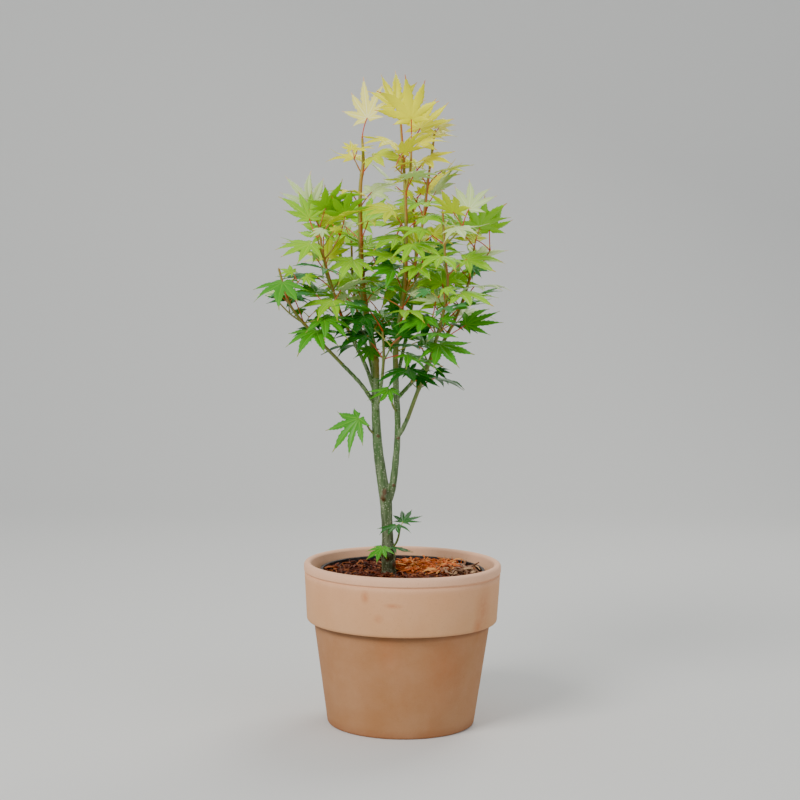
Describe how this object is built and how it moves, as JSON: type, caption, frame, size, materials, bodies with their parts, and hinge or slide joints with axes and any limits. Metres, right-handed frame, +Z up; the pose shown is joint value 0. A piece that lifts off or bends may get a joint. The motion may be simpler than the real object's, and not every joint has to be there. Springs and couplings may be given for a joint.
{
  "type": "potted maple tree",
  "caption": "Young full moon maple with two stems and an open crown of palmate leaves, in a nursery pot that stands in a banded terracotta pot.",
  "frame": {"origin": "middle of the clay pot's flat underside", "axes": "+Z up along the pot's axis, +Y away from the side in the picture, +X to that side's right"},
  "size_m": [0.3908, 0.323, 0.9909],
  "materials": {
    "bark": "matte grey-green bark with pale flecks",
    "green_bark": "satin green young bark, reddish on the sunny side",
    "young_foliage": "cream to golden lime leaves, matte with a soft sheen",
    "foliage": "lime to mid green leaves, matte with a soft sheen",
    "old_foliage": "deep green leaves, matte with a soft sheen",
    "terracotta": "matte unglazed fired clay",
    "black_plastic": "matte black",
    "bark_mulch": "rough moist chips"
  },
  "bodies": {
    "root": {"trunk": "bark", "left_stem": "bark", "right_stem": "bark", "left_low_bough": "green_bark", "left_bough": "green_bark", "right_low_bough": "green_bark", "right_back_bough": "green_bark", "back_left_bough": "green_bark", "back_bough": "green_bark", "front_bough": "green_bark", "left_crown": "young_foliage", "right_crown": "young_foliage", "right_shoot": "foliage", "left_shoot": "foliage", "left_low_shoot": "foliage", "right_back_shoot": "foliage", "front_shoot": "foliage", "back_left_shoot": "foliage", "back_shoot": "foliage", "low_left_spur": "old_foliage", "low_right_spur": "old_foliage", "right_base_sprout": "old_foliage", "front_base_sprout": "old_foliage", "clay_pot": "terracotta", "nursery_pot": "black_plastic", "soil": "bark_mulch"}
  },
  "joints": []
}
